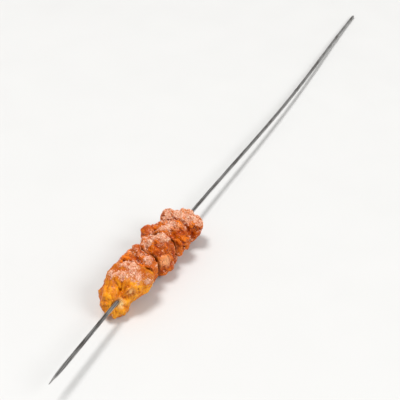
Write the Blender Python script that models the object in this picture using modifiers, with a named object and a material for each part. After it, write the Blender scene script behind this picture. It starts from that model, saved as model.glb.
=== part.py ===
"""A grilled lamb skewer: five uneven pieces of meat threaded on a long, thin, square steel skewer.

It lies on a table. The meat rests on small flattened spots and the blunt end of the steel touches
the table, so the steel slopes gently down from its point to its blunt end.
While building, x runs along the skewer from its point. The last step moves the whole so that the
origin is at the bottom centre of its bounding box.
"""

import math

import bmesh
import bpy
from mathutils import Euler, Vector

MM = 0.001

# Steel skewer
SKEWER_LENGTH = 420 * MM
STEEL_SIDE = 1.7 * MM
STEEL_CORNER = 0.25 * MM
POINT_LENGTH = 10 * MM
POINT_PROFILE = ((0.0, 0.12), (0.12, 0.30), (0.5, 0.72))  # shares of POINT_LENGTH and full size
END_CHAMFER = 0.4 * MM
END_SHARE = 0.7  # of full size, at the blunt end
SIDEWAYS_BOW = 2.6 * MM
BOW_START = 110 * MM
TWIST = math.radians(38)  # the section stands on an edge at the point and lies flat at the end
ROUTE_STEP = 14 * MM
WELD = 0.01 * MM

# Meat
AXIS_HEIGHT = 9.0 * MM  # of the steel above the table, at the middle of the front piece
FRONT_PIECE_X = 64 * MM
TOUCHING_GAP = 0.3 * MM  # between pieces that touch, and between meat and steel
VOXEL = 0.8 * MM
LOBE_SUBDIVISIONS = 4
SOFTENING = 3  # rounds of smoothing where lobes meet
FOLD_SIZE = 5.5 * MM
FOLD_DEPTH = 3.2 * MM
PUCKER_SIZE = 2.2 * MM
PUCKER_DEPTH = 1.1 * MM
TABLE_BLOCK = 500 * MM  # side of the block that flattens what rests on the table

# Each piece: middle along the skewer in mm, triangles, pieces that press into it, and its lobes.
# Each lobe: middle from the steel's axis, radii (mm), turn (degrees about x, y, z), squareness
# (2 is an ellipsoid, and higher is boxier).
PIECES = {
    "tail_fat_front": {
        "x": 64,
        "triangles": 1650,
        "pressed_by": [],
        "lobes": [
            ((3.0, 1.2, 2.2), (8.2, 9.0, 6.2), (8, 0, -12), 2.8),
            ((-4.2, 2.2, -2.6), (7.8, 6.0, 6.8), (0, 14, -10), 2.4),
            ((-3.0, 5.8, 0.6), (6.2, 4.2, 6.2), (12, 0, -20), 2.3),
            ((7.6, -4.6, 1.6), (5.6, 4.4, 5.4), (0, 10, 25), 2.4),
        ],
    },
    "lamb_small": {
        "x": 80.5,
        "triangles": 1050,
        "pressed_by": ["tail_fat_front", "lamb_large"],
        "lobes": [
            ((0.0, 0.4, 0.2), (5.8, 7.0, 7.0), (0, 0, 12), 2.6),
            ((-2.6, 8.0, 3.2), (3.8, 3.6, 3.6), (0, 0, 20), 2.2),
            ((2.0, 5.6, 5.4), (3.6, 3.4, 3.4), (0, 20, 0), 2.2),
        ],
    },
    "lamb_large": {
        "x": 93,
        "triangles": 1700,
        "pressed_by": ["tail_fat_front"],
        "lobes": [
            ((0.0, -0.6, 0.2), (9.0, 7.6, 8.2), (0, 6, -8), 2.9),
            ((-1.6, -4.8, -1.2), (6.4, 4.6, 6.0), (0, 0, 12), 2.5),
            ((-0.6, 4.8, 5.4), (3.8, 3.4, 3.6), (0, 0, 0), 2.2),
            ((1.6, -1.4, 5.4), (6.2, 4.6, 4.0), (0, -8, -30), 2.4),
        ],
    },
    "lamb_wide": {
        "x": 105.5,
        "triangles": 1550,
        "pressed_by": ["lamb_large"],
        "lobes": [
            ((0.0, 0.2, 0.2), (6.6, 8.4, 7.8), (0, 0, -10), 2.7),
            ((0.4, -5.2, 1.2), (5.4, 4.4, 6.4), (10, 0, -15), 2.4),
            ((-1.6, 7.6, 2.0), (5.4, 4.8, 5.0), (0, 0, -20), 2.3),
            ((2.0, -1.2, 5.4), (4.6, 5.4, 3.8), (0, 0, 20), 2.3),
        ],
    },
    "lamb_rear": {
        "x": 118.5,
        "triangles": 1350,
        "pressed_by": ["lamb_wide"],
        "lobes": [
            ((0.0, -1.4, 0.2), (7.0, 8.0, 7.6), (0, -8, 10), 2.7),
            ((0.8, -6.6, 1.6), (5.4, 4.8, 5.4), (0, 0, 15), 2.3),
            ((-0.6, 3.8, 3.4), (5.4, 4.8, 4.8), (0, 0, -20), 2.3),
        ],
    },
}


def clear_scene():
    for obj in list(bpy.data.objects):
        bpy.data.objects.remove(obj, do_unlink=True)


def new_collection(name):
    collection = bpy.data.collections.new(name)
    bpy.context.scene.collection.children.link(collection)
    return collection


def surface(name, colour, roughness, metallic):
    """A Principled material."""
    material = bpy.data.materials.new(name)
    material.use_nodes = True
    shader = material.node_tree.nodes["Principled BSDF"]
    shader.inputs["Base Color"].default_value = (*colour, 1.0)
    shader.inputs["Roughness"].default_value = roughness
    shader.inputs["Metallic"].default_value = metallic
    return material


def as_cutter(obj):
    obj.hide_render = True
    obj.display_type = "WIRE"
    return obj


def axis_at(x):
    """The middle of the steel at x: it slopes down to the blunt end, and its rear part is bowed."""
    rear = max(0.0, (x - BOW_START) / (SKEWER_LENGTH - BOW_START))
    sideways = -SIDEWAYS_BOW * math.sin(math.pi * rear) ** 2
    end_height = STEEL_SIDE / 2
    slope = (AXIS_HEIGHT - end_height) / (SKEWER_LENGTH - FRONT_PIECE_X)
    return Vector((x, sideways, end_height + slope * (SKEWER_LENGTH - x)))


def section_outline(name, side, corner):
    """A square of this side with cut corners, as a closed curve for use as a bevel object."""
    curve = bpy.data.curves.new(name, "CURVE")
    curve.dimensions = "2D"
    curve.fill_mode = "NONE"
    half = side / 2
    spline = curve.splines.new("POLY")
    spline.points.add(7)
    spline.use_cyclic_u = True
    for i, point in enumerate(spline.points):
        corner_angle = math.radians(45 + 90 * (i // 2))
        along = corner if i % 2 else -corner
        across = Vector((math.cos(corner_angle), math.sin(corner_angle))) * math.sqrt(2)
        shift = Vector((-math.sin(corner_angle), math.cos(corner_angle))) * math.sqrt(0.5)
        place = across * (half - corner / 2) + shift * along
        point.co = (place.x, place.y, 0, 1)
    return bpy.data.objects.new(name, curve)


def steel_stations():
    """x and the section's share of full size, from the point to the chamfered blunt end."""
    shaft_end = SKEWER_LENGTH - END_CHAMFER
    steps = round((shaft_end - POINT_LENGTH) / ROUTE_STEP)
    for along, share in POINT_PROFILE:
        yield POINT_LENGTH * along, share
    for i in range(steps + 1):
        yield POINT_LENGTH + (shaft_end - POINT_LENGTH) * i / steps, 1.0
    yield SKEWER_LENGTH, END_SHARE


def square_bar(name, side, corner, helpers):
    """The steel as a mesh: a square section swept along its axis, pointed at the front."""
    outline = section_outline(name + "_section", side, corner)
    helpers.objects.link(as_cutter(outline))
    curve = bpy.data.curves.new(name + "_route", "CURVE")
    curve.dimensions = "3D"
    curve.twist_mode = "Z_UP"
    curve.bevel_mode = "OBJECT"
    curve.bevel_object = outline
    curve.use_fill_caps = True
    stations = list(steel_stations())
    spline = curve.splines.new("POLY")
    spline.points.add(len(stations) - 1)
    for point, (x, share) in zip(spline.points, stations):
        point.co = (*axis_at(x), 1)
        point.radius = share
        point.tilt = TWIST * (1 - x / SKEWER_LENGTH)
    route = bpy.data.objects.new(name + "_route", curve)
    helpers.objects.link(route)
    bpy.context.view_layer.update()
    graph = bpy.context.evaluated_depsgraph_get()
    mesh = bpy.data.meshes.new_from_object(route.evaluated_get(graph))
    bpy.data.objects.remove(route)
    bm = bmesh.new()
    bm.from_mesh(mesh)
    bmesh.ops.remove_doubles(bm, verts=bm.verts, dist=WELD)
    bmesh.ops.recalc_face_normals(bm, faces=bm.faces)
    bm.to_mesh(mesh)
    bm.free()
    mesh.name = name
    return bpy.data.objects.new(name, mesh)


def add_lobe(bm, middle, radii, turn, squareness):
    """One rounded lobe, from an icosphere drawn out towards a box by its squareness."""
    made = bmesh.ops.create_icosphere(bm, subdivisions=LOBE_SUBDIVISIONS, radius=1)
    rotation = Euler([math.radians(a) for a in turn]).to_matrix()
    for vert in made["verts"]:
        norm = sum(abs(c) ** squareness for c in vert.co) ** (1 / squareness)
        scaled = Vector(c / norm * r * MM for c, r in zip(vert.co, radii))
        vert.co = rotation @ scaled + Vector(middle) * MM


def uneven(obj, name, size, depth):
    """Pushes the surface in and out by a cloud pattern fixed in space."""
    texture = bpy.data.textures.new(f"{obj.name}_{name}", "CLOUDS")
    texture.noise_scale = size
    texture.noise_depth = 1
    displace = obj.modifiers.new(name, "DISPLACE")
    displace.texture = texture
    displace.texture_coords = "GLOBAL"
    displace.strength = depth
    displace.mid_level = 0.5


def lump(name, x, lobes, triangles, helpers):
    """A whole piece of meat before anything is cut from it: lobes fused into one uneven body."""
    bm = bmesh.new()
    for lobe in lobes:
        add_lobe(bm, *lobe)
    mesh = bpy.data.meshes.new(name + "_lobes")
    bm.to_mesh(mesh)
    bm.free()
    body = bpy.data.objects.new(name + "_lobes", mesh)
    body.location = axis_at(x * MM)
    helpers.objects.link(body)
    fuse = body.modifiers.new("fuse", "REMESH")
    fuse.mode = "VOXEL"
    fuse.voxel_size = VOXEL
    soften = body.modifiers.new("soften", "SMOOTH")
    soften.iterations = SOFTENING
    uneven(body, "folds", FOLD_SIZE, FOLD_DEPTH)
    uneven(body, "puckers", PUCKER_SIZE, PUCKER_DEPTH)
    bpy.context.view_layer.update()
    graph = bpy.context.evaluated_depsgraph_get()
    dense = bpy.data.meshes.new_from_object(body.evaluated_get(graph))
    dense.transform(body.matrix_world)
    bpy.data.objects.remove(body)
    thinned = bpy.data.objects.new(name + "_thinned", dense)
    helpers.objects.link(thinned)
    reduce = thinned.modifiers.new("reduce", "DECIMATE")
    reduce.ratio = triangles / (2 * len(dense.polygons))
    bpy.context.view_layer.update()
    graph = bpy.context.evaluated_depsgraph_get()
    final = bpy.data.meshes.new_from_object(thinned.evaluated_get(graph))
    bpy.data.objects.remove(thinned)
    return final


def cut(obj, cutter):
    boolean = obj.modifiers.new("cut_" + cutter.name, "BOOLEAN")
    boolean.operation = "DIFFERENCE"
    boolean.object = cutter


def table_block():
    """Everything under the table's surface, for flattening what rests on it."""
    bm = bmesh.new()
    bmesh.ops.create_cube(bm, size=TABLE_BLOCK)
    bmesh.ops.translate(bm, verts=bm.verts, vec=(SKEWER_LENGTH / 2, 0, -TABLE_BLOCK / 2))
    mesh = bpy.data.meshes.new("table")
    bm.to_mesh(mesh)
    bm.free()
    return as_cutter(bpy.data.objects.new("table", mesh))


def swollen(mesh, name):
    """A lump grown by the gap that its neighbours keep to it."""
    obj = as_cutter(bpy.data.objects.new(name + "_swollen", mesh.copy()))
    grow = obj.modifiers.new("grow", "DISPLACE")
    grow.strength = TOUCHING_GAP
    grow.mid_level = 0
    return obj


def stand_on_origin(frame, parts):
    """Moves the frame so that the parts' box has its bottom centre at the origin."""
    bpy.context.view_layer.update()
    graph = bpy.context.evaluated_depsgraph_get()
    corners = [
        part.matrix_world @ Vector(corner)
        for part in parts
        for corner in part.evaluated_get(graph).bound_box
    ]
    low, high = (Vector(map(pick, zip(*corners))) for pick in (min, max))
    frame.location = Vector((-(low.x + high.x) / 2, -(low.y + high.y) / 2, -low.z))


def main():
    clear_scene()
    model = new_collection("lamb_skewer")
    helpers = new_collection("cutters")
    steel = surface("skewer_steel", (0.50, 0.50, 0.49), 0.28, 1.0)
    amber = surface("amber_fat", (0.62, 0.24, 0.035), 0.35, 0.0)
    lamb = surface("spiced_lamb", (0.45, 0.13, 0.03), 0.45, 0.0)

    skewer = square_bar("skewer", STEEL_SIDE, STEEL_CORNER, helpers)
    skewer.data.materials.append(steel)
    model.objects.link(skewer)
    bore = square_bar("bore", STEEL_SIDE + 2 * TOUCHING_GAP, STEEL_CORNER, helpers)
    helpers.objects.link(as_cutter(bore))
    table = table_block()
    helpers.objects.link(table)

    meshes = {}
    swells = {}
    for name, piece in PIECES.items():
        meshes[name] = lump(name, piece["x"], piece["lobes"], piece["triangles"], helpers)
        swells[name] = swollen(meshes[name], name)
        helpers.objects.link(swells[name])

    parts = [skewer]
    for name, piece in PIECES.items():
        obj = bpy.data.objects.new(name, meshes[name])
        obj.data.materials.append(amber if name == "tail_fat_front" else lamb)
        obj.data.shade_smooth()
        model.objects.link(obj)
        for neighbour in piece["pressed_by"]:
            cut(obj, swells[neighbour])
        cut(obj, table)
        cut(obj, bore)
        parts.append(obj)

    frame = bpy.data.objects.new("frame", None)
    model.objects.link(frame)
    for obj in [*parts, bore, table, *swells.values()]:
        obj.parent = frame
    stand_on_origin(frame, parts)


main()
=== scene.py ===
"""The looks of a grilled lamb skewer: five pieces of spiced meat on a thin square steel.

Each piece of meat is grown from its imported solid: remeshed finely, folded, and covered in crust.
Crumbs of spice and flakes of chilli are scattered where the crust is floury. Lengths are in
metres, and sizes named _MM, or given to a pattern or a material, are in millimetres.
"""

import math

import bmesh
import bpy
import numpy as np
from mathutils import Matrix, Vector
from mathutils.bvhtree import BVHTree


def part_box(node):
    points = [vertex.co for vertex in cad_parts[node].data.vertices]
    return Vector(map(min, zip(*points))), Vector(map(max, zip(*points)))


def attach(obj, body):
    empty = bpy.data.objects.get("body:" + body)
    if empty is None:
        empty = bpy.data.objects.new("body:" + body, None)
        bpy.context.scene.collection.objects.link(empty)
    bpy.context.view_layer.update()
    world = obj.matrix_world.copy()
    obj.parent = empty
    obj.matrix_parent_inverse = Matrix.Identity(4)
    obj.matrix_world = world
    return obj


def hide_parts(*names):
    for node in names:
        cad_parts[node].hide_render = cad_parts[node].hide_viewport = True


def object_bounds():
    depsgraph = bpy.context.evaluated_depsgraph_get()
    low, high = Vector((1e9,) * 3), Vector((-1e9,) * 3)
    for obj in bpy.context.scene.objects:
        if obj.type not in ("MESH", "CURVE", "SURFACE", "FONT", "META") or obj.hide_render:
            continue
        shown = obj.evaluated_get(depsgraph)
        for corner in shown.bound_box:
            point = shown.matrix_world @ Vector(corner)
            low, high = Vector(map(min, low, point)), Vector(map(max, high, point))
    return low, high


MM = 0.001

# Camera: where it stands, how wide its sensor is, and how far from the picture's middle, on the
# sensor, each end of the skewer comes
CAMERA_AT = Vector((-0.4129, -0.1573, 0.2697))
SENSOR_MM = 36
HALF_SKEWER_MM = 21.4

# Meat
FOLDING_VOXEL = 0.36 * MM
FINE_VOXEL = 0.20 * MM
FOLDING_SMOOTHING = 24
FINE_SMOOTHING = 2
SEAM_REACH = 3.0 * MM

# The wall of the bore is drawn in by BORE_PULL at BORE_INNER from the steel's middle, and by
# nothing at BORE_OUTER
BORE_PULL = 0.62 * MM
BORE_INNER = 1.5 * MM
BORE_OUTER = 2.6 * MM

# Nothing of the meat, and no grain, is lower than this above the table
MEAT_CLEARANCE = 0.02 * MM
GRAIN_CLEARANCE = 0.03 * MM

# Grains: name, count, how fine each one's mesh is, radius in mm, spread of the radius, and how
# strongly they keep to the floury places
CRUMBS = (
    ("spice_crumbs", 1500, 2, 0.36, 0.28, 2.0),
    ("spice_grit", 6000, 1, 0.24, 0.25, 1.8),
    ("spice_dust", 18000, 0, 0.15, 0.25, 1.7),
)
CRUMB_SHAPES = 24
CRUMB_THICKNESS = (0.4, 0.8)
FLAKES = 360
FLAKE_SHAPES = 12
FLAKE_THICKNESS = (0.2, 0.4)
FLAKE_RADIUS = 0.22 * MM
LIFT = 0.15
JITTER = 0.03 * MM

# Studio: directions as seen from the camera, and lights as (name, distance back, left and up from
# the meat in metres, size in metres, power in watts)
MEAT_MIDDLE = Vector((-0.12, 0, 0.01))
BACK = Vector((0.86, 0.51, 0))
LEFT = Vector((-0.51, 0.86, 0))
UP = Vector((0, 0, 1))
LIGHTS = (
    ("key", (0.40, 0.72, 3.0), 1.12, 64.0),
    ("fill", (-1.4, -2.0, 2.0), 1.6, 42.0),
)
SKY_TINT = (1.0, 0.985, 0.96, 1)
HORIZON_STRENGTH = 0.60
OVERHEAD_STRENGTH = 0.42

# Each piece's marks are (x, y, z, radius in mm, strength), with x, y and z as shares of its box.
# parted is how far, in mm, a piece draws back from its neighbours at the rim of their joint.
# crumbs adds floury crust and crumbs there or, below zero, keeps it bare and glossy. creases are
# (start, end, depth in mm, width in mm), and those of depth below zero are strands that stand out.
# brown marks darken a piece towards its brown tone. On the lamb they sit low, so each piece is darker
# towards the bottom; on the fat they are its browner edges, and the one on its left edge is partly
# painted shade from the neighbouring skewers.
PIECES = {
    "tail_fat_front": {
        "seed": 11,
        "fat": True,
        "grain": (0.3, 0.2, 0.9),
        "parted": 0.1,
        "floury": 0.0,
        "crumbs": (
            (0.46, 0.72, 0.97, 3.4, 0.75),
            (0.50, 0.45, 0.97, 3.6, 0.8),
            (0.58, 0.22, 0.88, 3.6, 1.0),
            (0.72, 0.08, 0.72, 3.0, 0.6),
            (0.82, 0.55, 0.95, 6.0, 0.7),
            (0.90, 0.90, 0.60, 5.0, 0.6),
            (0.92, 0.15, 0.30, 4.0, 0.4),
        ),
        "pale": ((0.15, 0.33, 0.50, 3.0, 0.9), (0.36, 0.24, 0.66, 2.4, 0.5)),
        "brown": (
            # partly painted shade: the fat's left edge, darkened as the neighbouring skewers shade it
            (0.20, 1.00, 0.55, 6.0, 0.9),
            (0.46, 0.90, 0.85, 6.0, 1.0),
            (0.72, 0.60, 0.95, 8.0, 1.0),
            (0.74, 0.15, 0.80, 6.0, 1.0),
            (0.95, 0.50, 0.40, 9.0, 1.0),
        ),
        "creases": (
            ((0.36, 0.64, 0.86), (0.31, 0.46, 0.71), 0.9, 0.6),
            ((0.31, 0.46, 0.71), (0.26, 0.36, 0.56), 0.7, 0.6),
            ((0.36, 0.29, 0.84), (0.38, 0.17, 0.60), 0.8, 0.6),
            ((0.51, 0.14, 0.81), (0.45, 0.12, 0.58), 0.7, 0.6),
            ((0.30, 0.88, 0.78), (0.22, 0.66, 0.72), 0.6, 0.6),
            ((0.13, 0.92, 0.56), (0.26, 0.94, 0.68), 1.2, 2.8),
            ((0.05, 0.68, 0.30), (0.08, 0.48, 0.14), -1.4, 2.4),
            ((0.31, 0.28, 0.14), (0.37, 0.24, 0.30), 0.9, 2.0),
        ),
    },
    "lamb_small": {
        "seed": 23,
        "fat": False,
        "grain": (0.2, 0.9, 0.3),
        "parted": 0.25,
        "floury": 0.18,
        "crumbs": (
            (0.45, 0.20, 0.90, 2.8, 1.0),
            (0.20, 0.72, 0.86, 2.8, -1.1),
            (0.20, 0.30, 0.60, 3.6, -0.8),
        ),
        "pale": ((0.43, 0.22, 0.86, 2.5, 0.3),),
        "brown": ((0.50, 0.40, 0.20, 5.0, 0.4),),
        "creases": (
            ((0.10, 0.78, 0.95), (0.20, 0.66, 0.60), 1.2, 0.7),
            ((0.45, 0.52, 0.98), (0.20, 0.40, 0.75), 1.1, 0.7),
        ),
    },
    "lamb_large": {
        "seed": 37,
        "fat": False,
        "grain": (0.5, 0.6, 0.6),
        "parted": 0.5,
        "floury": 0.27,
        "crumbs": (
            (0.36, 0.72, 0.95, 3.4, 0.9),
            (0.57, 0.40, 0.98, 3.8, 1.1),
            (0.18, 0.43, 0.78, 3.6, -1.4),
            (0.23, 0.08, 0.60, 4.2, -1.4),
            (0.50, 0.12, 0.66, 3.8, -1.2),
        ),
        "pale": ((0.23, 0.12, 0.58, 3.6, 1.1),),
        "brown": ((0.60, 0.50, 0.10, 6.0, 0.5),),
        "creases": (
            ((0.13, 0.30, 0.76), (0.31, 0.14, 0.74), 0.8, 0.8),
            ((0.31, 0.14, 0.74), (0.61, 0.09, 0.62), 0.7, 0.8),
            ((0.62, 0.06, 0.40), (0.60, 0.10, 0.70), 1.1, 0.7),
            ((0.12, 0.60, 0.80), (0.30, 0.48, 0.90), 1.0, 0.6),
            ((0.13, 0.42, 0.62), (0.25, 0.36, 0.86), -0.7, 0.8),
        ),
    },
    "lamb_wide": {
        "seed": 41,
        "fat": False,
        "grain": (0.1, 1.0, 0.2),
        "parted": 0.5,
        "floury": 0.2,
        "crumbs": (
            (0.42, 0.48, 0.93, 3.0, 0.7),
            (0.60, 0.40, 0.97, 2.6, 0.8),
            (0.34, 0.08, 0.70, 4.8, -1.3),
            (0.34, 0.95, 0.72, 4.6, -1.1),
        ),
        "pale": ((0.54, 0.30, 0.92, 2.2, 0.7), (0.66, 0.28, 0.92, 2.0, 0.6)),
        "brown": ((0.40, 0.50, 0.10, 6.0, 0.5),),
        "creases": (
            ((0.23, 0.70, 0.80), (0.55, 0.60, 0.95), 1.3, 0.8),
            ((0.30, 0.24, 0.86), (0.20, 0.12, 0.40), 0.8, 0.8),
            ((0.54, 0.43, 0.99), (0.46, 0.24, 0.84), -0.9, 0.6),
            ((0.73, 0.37, 0.97), (0.56, 0.16, 0.80), -0.9, 0.6),
            ((0.62, 0.36, 0.98), (0.52, 0.20, 0.84), 0.9, 0.5),
            ((0.28, 0.90, 0.85), (0.45, 0.70, 0.98), -0.8, 2.5),
        ),
    },
    "lamb_rear": {
        "seed": 59,
        "fat": False,
        "grain": (0.3, 0.8, 0.5),
        "parted": 0.55,
        "floury": 0.75,
        "crumbs": ((0.50, 0.50, 0.95, 7.0, 0.8), (0.15, 0.16, 0.55, 3.8, -1.2)),
        "pale": ((0.60, 0.40, 0.95, 5.0, 0.3),),
        "brown": ((0.40, 0.30, 0.15, 6.0, 0.5),),
        "creases": (
            ((0.20, 0.50, 0.92), (0.11, 0.28, 0.80), 1.2, 0.7),
            ((0.11, 0.28, 0.80), (0.31, 0.03, 0.62), 1.0, 0.7),
        ),
    },
}


def tone(red, green, blue):
    """A display colour of 0 to 255 as the linear colour that a shader takes."""
    parts = [c / 255 for c in (red, green, blue)]
    linear = [c / 12.92 if c <= 0.04045 else ((c + 0.055) / 1.055) ** 2.4 for c in parts]
    return (*linear, 1.0)


# Besides the meat's own colours, deep also serves as painted shade in sunken places, bright as painted
# highlight on bulges, and the char tone as painted shade near other pieces and round the steel's hole
LAMB_TONES = {
    "dull": tone(184, 72, 4),
    "bright": tone(234, 122, 16),
    "deep": tone(112, 28, 1),
    "brown": tone(132, 42, 4),
    "pale": tone(244, 176, 124),
    "flour": tone(232, 154, 100),
    "char_and_shade": tone(64, 20, 6),
}
FAT_TONES = {
    "dull": tone(216, 120, 10),
    "bright": tone(248, 168, 34),
    "deep": tone(184, 92, 4),
    "brown": tone(172, 66, 6),
    "pale": tone(250, 216, 150),
    "flour": tone(230, 162, 110),
    "char_and_shade": tone(88, 34, 8),
}


# ---------------------------------------------------------------- patterns in space


def cell_number(cells, seed):
    """A fixed number from 0 to 1 for each whole-number cell of space."""
    x, y, z = cells[:, 0], cells[:, 1], cells[:, 2]
    mixed = (x * 73856093) ^ (y * 19349663) ^ (z * 83492791) ^ (seed * 40503)
    mixed = ((mixed ^ (mixed >> 13)) * 1274126177) & 0xFFFFFFFF
    mixed = ((mixed ^ (mixed >> 15)) * 668265263) & 0xFFFFFFFF
    return ((mixed ^ (mixed >> 16)) & 0xFFFF) / 65535


def waves(points, size_mm, seed):
    """Smooth noise from about -1 to 1, with features of this size."""
    scaled = points / (size_mm * MM)
    base = np.floor(scaled).astype(np.int64)
    local = scaled - base
    fade = local**3 * (local * (local * 6 - 15) + 10)
    total = np.zeros(len(points))
    for corner in np.ndindex(2, 2, 2):
        offset = np.array(corner)
        slopes = [cell_number(base + offset, seed + 101 * axis) * 2 - 1 for axis in range(3)]
        reach = ((local - offset) * np.stack(slopes, 1)).sum(1)
        total += reach * np.where(offset, fade, 1 - fade).prod(1)
    return total * 1.6


def rough(points, size_mm, seed, octaves=3):
    """Noise with finer and weaker noise on top."""
    layers = [waves(points, size_mm / 2**i, seed + 17 * i) / 2**i for i in range(octaves)]
    return sum(layers) / 1.4


def warped(points, size_mm, reach_mm, seed):
    """The points pushed about by noise, so that a pattern on them loses its regularity."""
    push = np.stack([waves(points, size_mm, seed + i) for i in range(3)], 1)
    return points + reach_mm * MM * push


def stretched(points, direction, share):
    """Space squeezed along a direction, so that a pattern in it becomes fibres that way."""
    unit = np.array(direction) / np.linalg.norm(direction)
    along = points @ unit
    return points - np.outer(along * (1 - share), unit)


def pebbles(points, size_mm, seed):
    """Rounded bumps of uneven height packed side by side: up to 1 on top, 0 between them."""
    scaled = points / (size_mm * MM)
    base = np.floor(scaled).astype(np.int64)
    nearest = np.full(len(points), 9.0)
    own = np.zeros(len(points))
    for offset in np.ndindex(3, 3, 3):
        cell = base + np.array(offset) - 1
        centre = cell + np.stack([cell_number(cell, seed + 101 * axis) for axis in range(3)], 1)
        distance = np.linalg.norm(scaled - centre, axis=1)
        closer = distance < nearest
        nearest = np.where(closer, distance, nearest)
        own = np.where(closer, cell_number(cell, seed + 7), own)
    return np.clip(1 - nearest**2 * 1.4, 0, 1) * (0.45 + 0.55 * own)


def between(values, low, high):
    """0 below low, 1 above high, and smooth between."""
    t = np.clip((values - low) / (high - low), 0, 1)
    return t * t * (3 - 2 * t)


def marked(points, name, marks):
    """How strongly a piece's marks cover each point."""
    low, high = (np.array(corner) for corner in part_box(name))
    cover = np.zeros(len(points))
    for x, y, z, radius, strength in marks:
        away = np.linalg.norm(points - (low + (high - low) * (x, y, z)), axis=1) / MM
        cover += strength * (1 - between(away, 0.4 * radius, 1.2 * radius))
    return cover


def creased(points, name, lines):
    """How far a piece's creases cut in at each point, in mm."""
    low, high = (np.array(corner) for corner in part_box(name))
    cut = np.zeros(len(points))
    for start, end, depth, width in lines:
        first = low + (high - low) * start
        course = low + (high - low) * end - first
        along = np.clip((points - first) @ course / (course @ course), 0, 1)
        away = np.linalg.norm(points - first - np.outer(along, course), axis=1) / MM
        cut += depth * np.exp(-((away / width) ** 2))
    return cut


# ---------------------------------------------------------------- meshes as arrays


def points_of(mesh):
    points = np.empty(len(mesh.vertices) * 3)
    mesh.vertices.foreach_get("co", points)
    return points.reshape(-1, 3)


def normals_of(mesh):
    normals = np.empty(len(mesh.vertices) * 3, np.float32)
    mesh.vertex_normals.foreach_get("vector", normals)
    return normals.reshape(-1, 3).astype(float)


def set_points(mesh, points):
    mesh.vertices.foreach_set("co", points.astype(np.float32).ravel())
    mesh.update()


def store(mesh, name, values):
    """Keeps one number a vertex on the mesh, for its material to read."""
    attribute = mesh.attributes.new(name, "FLOAT", "POINT")
    attribute.data.foreach_set("value", values.astype(np.float32))


def averaged(mesh, values, rounds):
    """The values, one row a vertex, each drawn to its neighbours' mean this many times."""
    edges = np.empty(len(mesh.edges) * 2, np.int32)
    mesh.edges.foreach_get("vertices", edges)
    a, b = edges.reshape(-1, 2).T
    count = np.bincount(a, minlength=len(values)) + np.bincount(b, minlength=len(values))
    count = np.maximum(count, 1)
    result = values.astype(float).copy()
    for _ in range(rounds):
        for column in result.T:
            total = np.bincount(a, column[b], len(column)) + np.bincount(b, column[a], len(column))
            column[:] = (column + total / count) / 2
    return result


def remeshed(obj, voxel, smoothing):
    """The object's mesh made anew from cubes of this size, then smoothed."""
    fuse = obj.modifiers.new("fuse", "REMESH")
    fuse.mode = "VOXEL"
    fuse.voxel_size = voxel
    soften = obj.modifiers.new("soften", "SMOOTH")
    soften.iterations = smoothing
    bpy.context.view_layer.update()
    graph = bpy.context.evaluated_depsgraph_get()
    mesh = bpy.data.meshes.new_from_object(obj.evaluated_get(graph))
    obj.modifiers.clear()
    obj.data = mesh
    return mesh


# ---------------------------------------------------------------- the steel's line and the seams


def steel_line():
    """The middle of the steel, as a function of x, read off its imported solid."""
    points = points_of(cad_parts["skewer"].data)
    stations = np.unique(np.round(points[:, 0], 4))
    rings = [points[np.abs(points[:, 0] - x) < 0.2 * MM] for x in stations]
    middles = np.array([(ring.min(0) + ring.max(0)) / 2 for ring in rings])
    return lambda x: np.stack([np.interp(x, middles[:, 0], middles[:, i]) for i in (1, 2)], 1)


def from_steel(points, middle_of_steel):
    """Each point's offset from the steel's middle across its length, and how far that is."""
    away = points[:, 1:] - middle_of_steel(points[:, 0])
    return away, np.linalg.norm(away, axis=1)


def grip_steel(points, middle_of_steel):
    """Draws the wall of the bore in until the meat holds the steel."""
    away, radius = from_steel(points, middle_of_steel)
    pull = BORE_PULL * (1 - between(radius, BORE_INNER, BORE_OUTER))
    drawn = points.copy()
    drawn[:, 1:] -= away * (np.minimum(pull, radius * 0.6) / np.maximum(radius, 1e-9))[:, None]
    return drawn


def solid_trees():
    """A search tree of each piece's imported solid."""
    meshes = {name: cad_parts[name].data for name in PIECES}
    return {
        name: BVHTree.FromPolygons([v.co for v in mesh.vertices], [p.vertices for p in mesh.polygons])
        for name, mesh in meshes.items()
    }


def gap_to_others(points, name, trees):
    """How far each point is from the nearest other piece, up to SEAM_REACH."""
    gap = np.full(len(points), SEAM_REACH)
    for other, tree in trees.items():
        if other == name:
            continue
        low, high = (np.array(corner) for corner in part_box(other))
        near = ((points > low - SEAM_REACH) & (points < high + SEAM_REACH)).all(axis=1)
        for i in np.flatnonzero(near):
            distance = tree.find_nearest(points[i], SEAM_REACH)[3]
            if distance is not None:
                gap[i] = min(gap[i], distance)
    return gap


# ---------------------------------------------------------------- meat


def puckered(points, middle_of_steel):
    """Soft folds that run out from the hole where the steel goes in."""
    away, radius = from_steel(points, middle_of_steel)
    ring = away / np.maximum(radius, 1e-9)[:, None]
    space = np.column_stack([points[:, 0] * 0.25, ring * 5.5 * MM + away * 0.22])
    folds = np.abs(waves(warped(space, 4.0, 0.5, 301), 2.5, 307))
    return between(folds, 0.0, 0.38) * between(radius, 1.2 * MM, 4.0 * MM)


def folded(points, normals, gap, name, piece, middle_of_steel):
    """The first shaping of a piece: lumps and creases, drawn back from its neighbours."""
    seed = piece["seed"]
    bent = warped(points, 5.0, 1.3, seed)
    lumps = rough(points, 5.5, seed + 3, 2)
    if piece["fat"]:
        swell = 0.55 * lumps + 0.75 * puckered(points, middle_of_steel) - 0.35
    else:
        bundles = np.abs(waves(stretched(bent, piece["grain"], 0.5), 4.8, seed + 5))
        swell = 0.7 * lumps + 1.3 * between(bundles, 0.0, 0.36) - 0.75
    swell -= creased(warped(points, 2.2, 0.7, seed + 20), name, piece["creases"])
    open_space = between(gap, 0.2 * MM, 2.2 * MM)
    rim = between(from_steel(points, middle_of_steel)[1], 4.0 * MM, 8.5 * MM)
    pressed = (1 - open_space) * (0.18 - piece["parted"] * rim)
    depth = swell * (0.35 + 0.65 * open_space) + pressed
    return points + normals * (depth * MM)[:, None]


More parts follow.
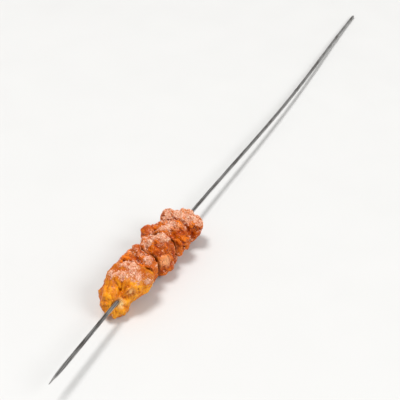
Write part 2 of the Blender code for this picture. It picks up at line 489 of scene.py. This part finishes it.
def floury(points, normals, name, piece):
    """How much of each point is covered in crumbly crust, from 0 to 1."""
    seed = piece["seed"]
    patches = rough(points, 4.5, seed + 110)
    facing_up = between(normals[:, 2] + 0.5 * patches, 0.05, 0.7)
    cover = piece["floury"] * facing_up + marked(points, name, piece["crumbs"])
    clumps = 0.2 + 1.1 * between(rough(points, 3.0, seed + 130, 2), -0.25, 0.2)
    return np.clip(cover * clumps, 0, 1)


def crusted(points, normals, crust, gap, piece):
    """The second shaping: crumbly nodules on the crust, and fibres and soft beads elsewhere."""
    seed = piece["seed"]
    spread = warped(points, 1.8, 0.4, seed + 40)
    nodules = pebbles(spread, 2.4, seed)
    beads = pebbles(spread, 1.25, seed + 50)
    grit = pebbles(points, 0.65, seed + 55)
    fibres = between(np.abs(waves(stretched(spread, piece["grain"], 0.16), 1.1, seed + 60)), 0.0, 0.3)
    fine = rough(points, 0.7, seed + 80, 2)
    crag = 0.75 * nodules + 0.42 * beads + 0.20 * grit - 0.62
    if piece["fat"]:
        smooth = 0.16 * fibres + 0.10 * beads + 0.07 * fine - 0.1
    else:
        smooth = 0.34 * nodules + 0.18 * fibres + 0.14 * beads + 0.09 * fine - 0.31
    depth = crust * crag + (1 - crust) * smooth
    depth *= 0.3 + 0.7 * between(gap, 0.3 * MM, 1.5 * MM)
    return points + normals * (depth * MM)[:, None]


def add_masks(mesh, name, piece, gap, middle_of_steel):
    """Stores masks of a piece: where it is floury, charred, pale and darker brown; its sunken places,
    for painted shade; its bulging places, for painted highlight; and painted shade near another piece
    and round the steel's hole.
    """
    points = points_of(mesh)
    normals = normals_of(mesh)
    seed = piece["seed"]
    wide = ((averaged(mesh, points, 60) - points) * normals).sum(1) / MM
    tight = ((averaged(mesh, points, 8) - points) * normals).sum(1) / MM
    dust = floury(points, normals, name, piece)
    char = between(-wide, 0.05, 0.5) * between(rough(points, 3.5, seed + 120), 0.15, 0.5)
    uneven = 0.8 + 0.6 * rough(points, 2.0, seed + 140, 2)
    # painted shade mask: the sunken places, for the material to darken
    store(mesh, "hollow_shade", np.clip(between(wide, 0.0, 0.45) + 0.8 * between(tight, 0.0, 0.09), 0, 1))
    # painted highlight mask: the bulging places, for the material to brighten
    store(mesh, "raised_highlight", between(-wide, 0.0, 0.4))
    store(mesh, "dust", dust)
    store(mesh, "char", char)
    store(mesh, "pale", np.clip(marked(points, name, piece["pale"]) * uneven, 0, 1))
    store(mesh, "brown", np.clip(marked(points, name, piece["brown"]) * uneven, 0, 1))
    # painted shade: darker where the piece nears another piece, and round the steel's hole
    gap_shade = 1 - between(gap, 0.5 * MM, 0.9 * MM + 1.6 * MM * piece["parted"])
    hole = 1 - between(from_steel(points, middle_of_steel)[1], 1.0 * MM, 1.8 * MM)
    store(mesh, "gap_shade", np.maximum(gap_shade, hole))
    return points, normals, dust * between(gap, 0.5 * MM, 1.6 * MM)


def build_meat(name, piece, material, middle_of_steel, trees):
    """One piece of meat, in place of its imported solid."""
    obj = bpy.data.objects.new(name + "_meat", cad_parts[name].data.copy())
    bpy.context.scene.collection.objects.link(obj)
    mesh = remeshed(obj, FOLDING_VOXEL, FOLDING_SMOOTHING)
    points = points_of(mesh)
    gap = gap_to_others(points, name, trees)
    set_points(mesh, folded(points, normals_of(mesh), gap, name, piece, middle_of_steel))
    mesh = remeshed(obj, FINE_VOXEL, FINE_SMOOTHING)
    points = points_of(mesh)
    normals = normals_of(mesh)
    gap = gap_to_others(points, name, trees)
    shaped = crusted(points, normals, floury(points, normals, name, piece), gap, piece)
    shaped = grip_steel(shaped, middle_of_steel)
    shaped[:, 2] = np.maximum(shaped[:, 2], MEAT_CLEARANCE)
    set_points(mesh, shaped)
    mesh.shade_smooth()
    scatter_on = add_masks(mesh, name, piece, gap, middle_of_steel)
    mesh.materials.clear()
    mesh.materials.append(material)
    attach(obj, "root")
    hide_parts(name)
    return scatter_on


# ---------------------------------------------------------------- crumbs and flakes


def ball(subdivisions):
    """A ball's points and its triangles: an octahedron at 0, and finer above."""
    if subdivisions == 0:
        faces = [(0, 1, 2), (1, 3, 2), (3, 4, 2), (4, 0, 2), (1, 0, 5), (3, 1, 5), (4, 3, 5), (0, 4, 5)]
        return np.vstack([np.eye(3), -np.eye(3)]), np.array(faces)
    bm = bmesh.new()
    bmesh.ops.create_icosphere(bm, subdivisions=subdivisions, radius=1)
    points = np.array([v.co for v in bm.verts])
    faces = np.array([[v.index for v in face.verts] for face in bm.faces])
    bm.free()
    return points, faces


def grain_shapes(subdivisions, variants, rng):
    """Angular grains of about unit size, as arrays of points, and their shared faces."""
    points, faces = ball(subdivisions)
    shapes = []
    for _ in range(variants):
        cuts = rng.normal(size=(9, 3))
        cuts /= np.linalg.norm(cuts, axis=1)[:, None]
        reach = rng.uniform(0.55, 1.0, 9) / np.maximum(points @ cuts.T, 0.4)
        shapes.append(points * np.minimum(reach.min(axis=1), 1.35)[:, None])
    return np.array(shapes), faces


def random_turns(count, rng):
    """Random rotation matrices, from random unit quaternions."""
    turns = rng.normal(size=(count, 4))
    w, x, y, z = (turns / np.linalg.norm(turns, axis=1)[:, None]).T
    rows = [
        [1 - 2 * (y * y + z * z), 2 * (x * y - z * w), 2 * (x * z + y * w)],
        [2 * (x * y + z * w), 1 - 2 * (x * x + z * z), 2 * (y * z - x * w)],
        [2 * (x * z - y * w), 2 * (y * z + x * w), 1 - 2 * (x * x + y * y)],
    ]
    return np.array(rows).transpose(2, 0, 1)


def laid_flat(normals, rng):
    """Rotation matrices that lay z along each normal, each with a random spin about it."""
    side = np.cross(normals, rng.normal(size=normals.shape))
    side /= np.linalg.norm(side, axis=1)[:, None]
    upward = normals / np.linalg.norm(normals, axis=1)[:, None]
    return np.stack([side, np.cross(upward, side), upward], axis=2)


def scattered(name, places, normals, sizes, grains, turns, thinnest, material, rng):
    """Many grains as one mesh. Each lies on its surface point, sunk in a little."""
    shapes, faces = grains
    count = len(places)
    squash = np.stack([np.ones(count), rng.uniform(0.6, 1.0, count), rng.uniform(*thinnest, count)], 1)
    cloud = shapes[rng.integers(len(shapes), size=count)] * squash[:, None, :]
    cloud = np.einsum("nij,nkj->nki", turns, cloud) * sizes[:, None, None]
    cloud += (places + normals * sizes[:, None] * LIFT)[:, None, :]
    points = cloud.reshape(-1, 3)
    points[:, 2] = np.maximum(points[:, 2], GRAIN_CLEARANCE)
    numbers = faces[None] + np.arange(count)[:, None, None] * shapes.shape[1]
    mesh = bpy.data.meshes.new(name)
    mesh.from_pydata(points.tolist(), [], numbers.reshape(-1, 3).tolist())
    mesh.shade_smooth()
    store(mesh, "shade", np.repeat(rng.uniform(size=count), shapes.shape[1]))
    mesh.materials.append(material)
    obj = bpy.data.objects.new(name, mesh)
    bpy.context.scene.collection.objects.link(obj)
    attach(obj, "root")


def pick_places(surfaces, count, base, power, rng):
    """Points on the meat, drawn more often where it is floury, and their normals."""
    points = np.concatenate([s[0] for s in surfaces])
    normals = np.concatenate([s[1] for s in surfaces])
    weights = np.concatenate([s[2] for s in surfaces]) ** power + base
    chosen = rng.choice(len(points), size=count, p=weights / weights.sum(), replace=False)
    return points[chosen] + rng.normal(scale=JITTER, size=(count, 3)), normals[chosen]


def add_crumbs(surfaces, material):
    rng = np.random.default_rng(7)
    for name, count, subdivisions, radius, spread, power in CRUMBS:
        places, normals = pick_places(surfaces, count, 0.001, power, rng)
        sizes = radius * MM * np.exp(rng.normal(scale=spread, size=count).clip(-0.9, 0.38))
        grains = grain_shapes(subdivisions, CRUMB_SHAPES, rng)
        turns = random_turns(count, rng)
        scattered(name, places, normals, sizes, grains, turns, CRUMB_THICKNESS, material, rng)


def add_flakes(surfaces, material):
    rng = np.random.default_rng(19)
    places, normals = pick_places(surfaces, FLAKES, 0.06, 1.0, rng)
    sizes = FLAKE_RADIUS * np.exp(rng.normal(scale=0.3, size=len(places)))
    grains = grain_shapes(1, FLAKE_SHAPES, rng)
    turns = laid_flat(normals, rng)
    scattered("chilli_flakes", places, normals, sizes, grains, turns, FLAKE_THICKNESS, material, rng)


# ---------------------------------------------------------------- materials


class Material:
    """A Principled material, with short calls for the nodes that feed it."""

    def __init__(self, name, **fixed):
        self.material = bpy.data.materials.new(name)
        self.material.use_nodes = True
        self.tree = self.material.node_tree
        self.shader = self.tree.nodes["Principled BSDF"]
        for socket, value in fixed.items():
            self.shader.inputs[socket.replace("_", " ")].default_value = value
        self.space = self.tree.nodes.new("ShaderNodeTexCoord").outputs["Object"]

    def set(self, socket, source):
        self.tree.links.new(source, self.shader.inputs[socket])

    def link(self, node, inputs):
        for key, value in inputs.items():
            if isinstance(value, bpy.types.NodeSocket):
                self.tree.links.new(value, node.inputs[key])
            else:
                node.inputs[key].default_value = value

    def stored(self, name):
        node = self.tree.nodes.new("ShaderNodeAttribute")
        node.attribute_name = name
        return node.outputs["Fac"]

    def squeezed(self, scale):
        node = self.tree.nodes.new("ShaderNodeMapping")
        self.link(node, {"Vector": self.space, "Scale": scale})
        return node.outputs["Vector"]

    def noise(self, size_mm, detail=2.0, space=None):
        node = self.tree.nodes.new("ShaderNodeTexNoise")
        inputs = {"Vector": space or self.space, "Scale": 1000 / size_mm, "Detail": detail}
        self.link(node, inputs)
        return node.outputs["Fac"]

    def dots(self, size_mm):
        node = self.tree.nodes.new("ShaderNodeTexVoronoi")
        self.link(node, {"Vector": self.space, "Scale": 1000 / size_mm})
        return node.outputs["Distance"]

    def ramp(self, value, low, high, to_low=0.0, to_high=1.0):
        node = self.tree.nodes.new("ShaderNodeMapRange")
        node.interpolation_type = "SMOOTHSTEP"
        self.link(node, {0: value, 1: low, 2: high, 3: to_low, 4: to_high})
        return node.outputs[0]

    def math(self, kind, a, b):
        node = self.tree.nodes.new("ShaderNodeMath")
        node.operation = kind
        self.link(node, {0: a, 1: b})
        return node.outputs[0]

    def mix(self, share, a, b):
        node = self.tree.nodes.new("ShaderNodeMix")
        node.data_type = "RGBA"
        self.link(node, {0: share, 6: a, 7: b})
        return node.outputs[2]

    def painted(self, colour, mask, strength, paint):
        """The colour with paint over it where the stored mask is strong."""
        return self.mix(self.math("MULTIPLY", self.stored(mask), strength), colour, paint)

    def bump(self, height, depth_mm):
        node = self.tree.nodes.new("ShaderNodeBump")
        self.link(node, {"Height": height, "Distance": depth_mm * MM, "Strength": 1.0})
        self.set("Normal", node.outputs[0])


def meat_material(name, tones, gloss, **fixed):
    m = Material(name, IOR=1.42, Specular_IOR_Level=0.10, Coat_Roughness=0.10, **fixed)
    dust = m.stored("dust")
    wide = m.ramp(m.noise(5.0), 0.38, 0.62)
    fine = m.ramp(m.noise(1.3, 3.0), 0.35, 0.68)
    colour = m.mix(wide, tones["dull"], tones["bright"])
    colour = m.mix(m.math("MULTIPLY", fine, 0.35), colour, tones["deep"])
    # painted highlight: the bulging places brightened towards the bright tone
    colour = m.painted(colour, "raised_highlight", 0.45, tones["bright"])
    # darker brown where marked; on the fat's left edge this is partly painted shade
    colour = m.painted(colour, "brown", 0.75, tones["brown"])
    colour = m.painted(colour, "pale", 0.85, tones["pale"])
    grains = m.ramp(m.dots(0.9), 0.25, 0.65, 0.95, 0.35)
    colour = m.mix(m.math("MULTIPLY", dust, grains), colour, tones["flour"])
    # painted shade: the sunken places darkened towards the deep tone
    colour = m.painted(colour, "hollow_shade", 0.75, tones["deep"])
    colour = m.painted(colour, "char", 0.5, tones["char_and_shade"])
    # painted shade: the char tone laid near other pieces and round the steel's hole
    colour = m.painted(colour, "gap_shade", 0.75, tones["char_and_shade"])
    m.set("Roughness", m.ramp(dust, 0.0, 0.7, gloss, 0.70))
    m.set("Coat Weight", m.ramp(dust, 0.0, 0.5, 0.25, 0.02))
    specks = m.ramp(m.dots(1.1), 0.10, 0.16, 1.0, 0.0)
    m.set("Base Color", m.mix(m.math("MULTIPLY", specks, 0.7), colour, tones["char_and_shade"]))
    strands = m.noise(0.5, 3.0, m.squeezed((0.9, 0.2, 0.7)))
    m.bump(m.math("ADD", m.noise(0.4, 3.0), strands), 0.09)
    return m.material


def crumb_material():
    m = Material("spice_crumb", Subsurface_Weight=0.1, Subsurface_Scale=0.5 * MM)
    shade = m.stored("shade")
    colour = m.mix(m.ramp(shade, 0.0, 0.6), tone(251, 212, 188), tone(240, 178, 142))
    colour = m.mix(m.ramp(shade, 0.58, 0.93), colour, tone(200, 108, 56))
    m.set("Base Color", colour)
    m.set("Roughness", m.ramp(m.noise(0.5), 0.3, 0.7, 0.5, 0.8))
    m.bump(m.noise(0.25), 0.05)
    return m.material


def chilli_material():
    m = Material("chilli", Coat_Weight=0.2)
    colour = m.mix(m.stored("shade"), tone(58, 14, 6), tone(150, 36, 12))
    m.set("Base Color", colour)
    m.set("Roughness", m.ramp(m.noise(0.5), 0.3, 0.7, 0.35, 0.6))
    return m.material


def steel_material():
    m = Material("drawn_steel", Metallic=1.0)
    streaks = m.noise(0.35, 3.0, m.squeezed((0.02, 1.0, 1.0)))
    stains = m.ramp(m.noise(9.0, 3.0), 0.48, 0.68)
    colour = m.mix(m.ramp(streaks, 0.3, 0.7), tone(136, 135, 135), tone(186, 185, 184))
    colour = m.mix(m.math("MULTIPLY", stains, 0.6), colour, tone(84, 74, 66))
    m.set("Base Color", colour)
    m.set("Roughness", m.ramp(streaks, 0.25, 0.75, 0.20, 0.38))
    m.bump(streaks, 0.02)
    return m.material


def floor_material():
    m = Material("pale_table")
    m.set("Base Color", m.mix(m.noise(60.0), tone(219, 219, 218), tone(223, 223, 222)))
    m.set("Roughness", m.ramp(m.noise(20.0), 0.3, 0.7, 0.5, 0.6))
    return m.material


# ---------------------------------------------------------------- stage


def aim(obj, place, direction):
    obj.location = place
    obj.rotation_mode = "QUATERNION"
    obj.rotation_quaternion = direction.to_track_quat("-Z", "Y")


def add_camera():
    """A camera that looks along the middle of its view of the skewer, with all of it in sight."""
    low, high = (Vector(corner) for corner in cad_box)
    middle_y = (low.y + high.y) / 2
    to_tip = (Vector((low.x, middle_y, high.z * 0.6)) - CAMERA_AT).normalized()
    to_end = (Vector((high.x, middle_y, low.z)) - CAMERA_AT).normalized()
    data = bpy.data.cameras.new("camera")
    data.sensor_width = SENSOR_MM
    data.lens = HALF_SKEWER_MM / math.tan(to_tip.angle(to_end) / 2)
    data.clip_start = 0.01
    camera = bpy.data.objects.new("camera", data)
    bpy.context.scene.collection.objects.link(camera)
    aim(camera, CAMERA_AT, to_tip + to_end)
    bpy.context.scene.camera = camera


def add_area(name, place, target, size, power):
    data = bpy.data.lights.new(name, "AREA")
    data.shape = "DISK"
    data.size = size
    data.energy = power
    light = bpy.data.objects.new(name, data)
    bpy.context.scene.collection.objects.link(light)
    aim(light, place, target - place)


def add_world():
    """An even sky, a little stronger towards the horizon than overhead."""
    world = bpy.data.worlds.new("studio")
    bpy.context.scene.world = world
    world.use_nodes = True
    tree = world.node_tree
    direction = tree.nodes.new("ShaderNodeTexCoord").outputs["Generated"]
    split = tree.nodes.new("ShaderNodeSeparateXYZ")
    tree.links.new(direction, split.inputs[0])
    height = tree.nodes.new("ShaderNodeMapRange")
    height.inputs["From Min"].default_value = 0.0
    height.inputs["From Max"].default_value = 0.8
    height.inputs["To Min"].default_value = HORIZON_STRENGTH
    height.inputs["To Max"].default_value = OVERHEAD_STRENGTH
    tree.links.new(split.outputs["Z"], height.inputs["Value"])
    background = tree.nodes["Background"]
    background.inputs["Color"].default_value = SKY_TINT
    tree.links.new(height.outputs["Result"], background.inputs["Strength"])


def add_studio():
    """A pale table and sky, a soft key light high up, and a weaker fill from the front right."""
    bpy.ops.mesh.primitive_plane_add(size=6)
    floor = bpy.context.object
    floor.name = "table_top"
    floor.data.materials.append(floor_material())
    for name, (back, left, up), size, power in LIGHTS:
        place = MEAT_MIDDLE + BACK * back + LEFT * left + UP * up
        add_area(name, place, MEAT_MIDDLE, size, power)
    add_world()
    bpy.context.scene.view_settings.view_transform = "Standard"


# ---------------------------------------------------------------- the whole


def main():
    add_camera()
    add_studio()
    lamb = meat_material(
        "spiced_lamb",
        LAMB_TONES,
        gloss=0.36,
        Subsurface_Weight=0.12,
        Subsurface_Radius=(1.0, 0.35, 0.15),
        Subsurface_Scale=0.6 * MM,
    )
    fat = meat_material(
        "amber_fat",
        FAT_TONES,
        gloss=0.28,
        Subsurface_Weight=0.3,
        Subsurface_Radius=(1.0, 0.5, 0.15),
        Subsurface_Scale=1.2 * MM,
    )
    middle_of_steel = steel_line()
    trees = solid_trees()
    surfaces = [
        build_meat(name, piece, fat if piece["fat"] else lamb, middle_of_steel, trees)
        for name, piece in PIECES.items()
    ]
    add_crumbs(surfaces, crumb_material())
    add_flakes(surfaces, chilli_material())
    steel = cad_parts["skewer"]
    steel.data.materials.clear()
    steel.data.materials.append(steel_material())


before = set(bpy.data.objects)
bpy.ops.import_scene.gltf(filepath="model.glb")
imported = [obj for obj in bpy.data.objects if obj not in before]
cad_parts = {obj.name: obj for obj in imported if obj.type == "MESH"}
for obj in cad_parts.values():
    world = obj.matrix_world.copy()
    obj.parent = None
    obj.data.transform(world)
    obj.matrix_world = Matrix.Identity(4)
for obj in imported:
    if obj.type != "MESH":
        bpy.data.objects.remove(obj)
cad_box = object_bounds()
main()
